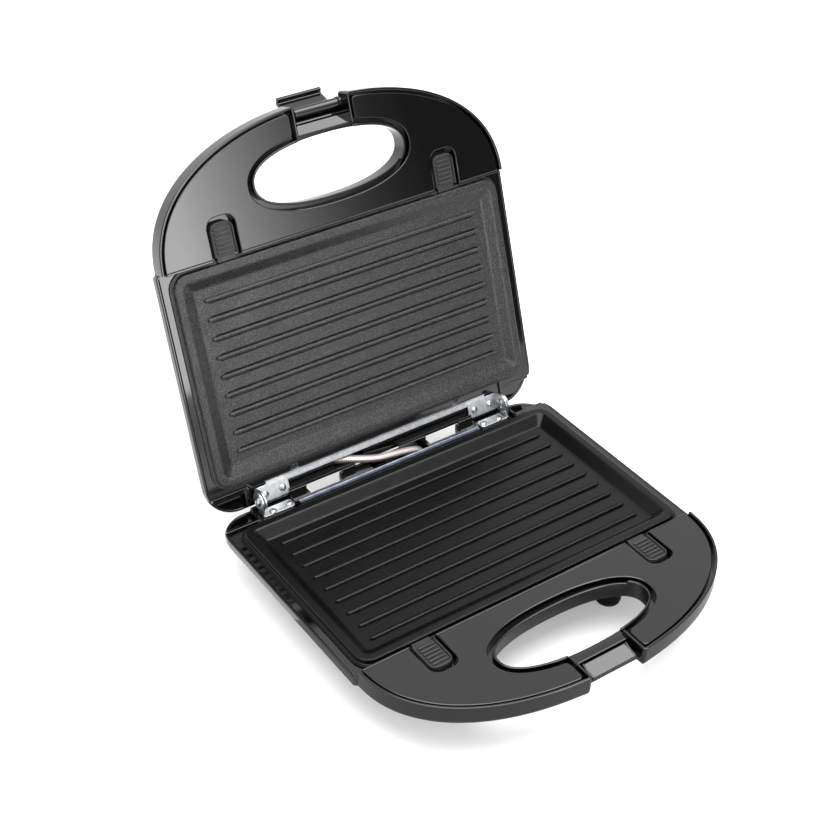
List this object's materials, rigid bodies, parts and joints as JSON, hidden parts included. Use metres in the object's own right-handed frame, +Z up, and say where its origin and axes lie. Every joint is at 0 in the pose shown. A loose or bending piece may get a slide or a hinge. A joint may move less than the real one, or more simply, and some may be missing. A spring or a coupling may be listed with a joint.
{
  "type": "panini press",
  "caption": "Countertop press that grills sandwiches between two hinged ribbed plates, with finger-hole handles and a clamp latch.",
  "frame": {"origin": "centre of the footprint of the open press, on the table under its feet", "axes": "+Z up, -Y towards the user and the base handle, +Y towards the hinge and the open lid, +X to the user's right"},
  "size_m": [0.248, 0.3274, 0.2567],
  "materials": {
    "gloss_shell": "polished black moulding",
    "nonstick_coating": "speckled non-stick coating on pressed aluminium",
    "reflector_sheet": "plain rolled sheet",
    "heater_sheath": "heat-darkened steel sheath",
    "zinc_steel": "zinc-plated pressed steel",
    "blued_strip": "blue-grey plated steel",
    "screw_steel": "plated steel",
    "spring_steel": "plain spring steel",
    "matte_clip": "satin dark grey moulding",
    "foot_rubber": "matt black rubber",
    "ivory_ceramic": "matt ceramic",
    "thermostat_can": "pressed can",
    "wire_insulation": "silicone insulation",
    "braided_sleeve": "braided glass-fibre sleeve",
    "red_lens": "tinted clear lens",
    "green_lens": "tinted clear lens",
    "lamp_glass": "small neon lamp"
  },
  "bodies": {
    "base": {"base_bottom_shell": "gloss_shell", "base_top_cover": "gloss_shell", "lower_grill_plate": "nonstick_coating", "lower_reflector_tray": "reflector_sheet", "lower_heating_element": "heater_sheath", "lower_heater_saddles": "zinc_steel", "lower_tray_screws": "zinc_steel", "base_cross_strip": "blued_strip", "base_hinge_bracket_left": "zinc_steel", "base_hinge_bracket_right": "zinc_steel", "base_bracket_screws": "screw_steel", "hinge_pins": "screw_steel", "hinge_washers": "zinc_steel", "base_clip_springs": "spring_steel", "base_shell_screws": "screw_steel", "base_thermostat": "thermostat_can", "base_thermal_fuse": "thermostat_can", "base_wiring": "wire_insulation", "latch_keeper": "gloss_shell", "feet": "foot_rubber", "cord_gland": "foot_rubber", "terminal_block": "ivory_ceramic", "wire_sleeve": "braided_sleeve"},
    "lid": {"lid_outer_shell": "gloss_shell", "lid_inner_cover": "gloss_shell", "upper_grill_plate": "nonstick_coating", "upper_reflector_tray": "reflector_sheet", "upper_heating_element": "heater_sheath", "upper_heater_saddles": "zinc_steel", "upper_tray_screws": "zinc_steel", "lid_cross_strip": "zinc_steel", "lid_hinge_bracket_left": "zinc_steel", "lid_hinge_bracket_right": "zinc_steel", "lid_bracket_screws": "screw_steel", "lid_clip_springs": "spring_steel", "lid_shell_screws": "screw_steel", "indicator_lens_power": "red_lens", "indicator_lens_ready": "green_lens", "indicator_lamps": "lamp_glass", "lid_thermostat": "thermostat_can", "lid_wiring": "wire_insulation", "latch_pin": "screw_steel"},
    "latch": {"latch": "gloss_shell"},
    "base_clip_left_body": {"base_release_clip_left": "matte_clip"},
    "base_clip_right_body": {"base_release_clip_right": "matte_clip"},
    "lid_clip_left_body": {"lid_release_clip_left": "matte_clip"},
    "lid_clip_right_body": {"lid_release_clip_right": "matte_clip"}
  },
  "joints": [
    {"name": "lid_hinge", "type": "hinge", "parent": "base", "child": "lid", "pos_m": [0, 0.0622, 0.044], "axis": [1, 0, 0], "range_deg": [0, 109.5], "deforming": ["wire_sleeve"]},
    {"name": "latch_hinge", "type": "hinge", "parent": "lid", "child": "latch", "pos_m": [0, 0.14379, 0.24743], "axis": [1, 0, 0], "range_deg": [0, 150]},
    {"name": "base_clip_left", "type": "slide", "parent": "base", "child": "base_clip_left_body", "axis": [0, -1, 0], "range_m": [0, 0.003], "stiffness_N_per_m": 350, "springref_m": -0.003, "deforming": ["base_clip_springs"]},
    {"name": "lid_clip_left", "type": "slide", "parent": "lid", "child": "lid_clip_left_body", "axis": [0, 0.3338, 0.9426], "range_m": [0, 0.003], "stiffness_N_per_m": 350, "springref_m": -0.003, "deforming": ["lid_clip_springs"]},
    {"name": "base_clip_right", "type": "slide", "parent": "base", "child": "base_clip_right_body", "axis": [0, -1, 0], "range_m": [0, 0.003], "stiffness_N_per_m": 350, "springref_m": -0.003, "deforming": ["base_clip_springs"]},
    {"name": "lid_clip_right", "type": "slide", "parent": "lid", "child": "lid_clip_right_body", "axis": [0, 0.3338, 0.9426], "range_m": [0, 0.003], "stiffness_N_per_m": 350, "springref_m": -0.003, "deforming": ["lid_clip_springs"]}
  ]
}
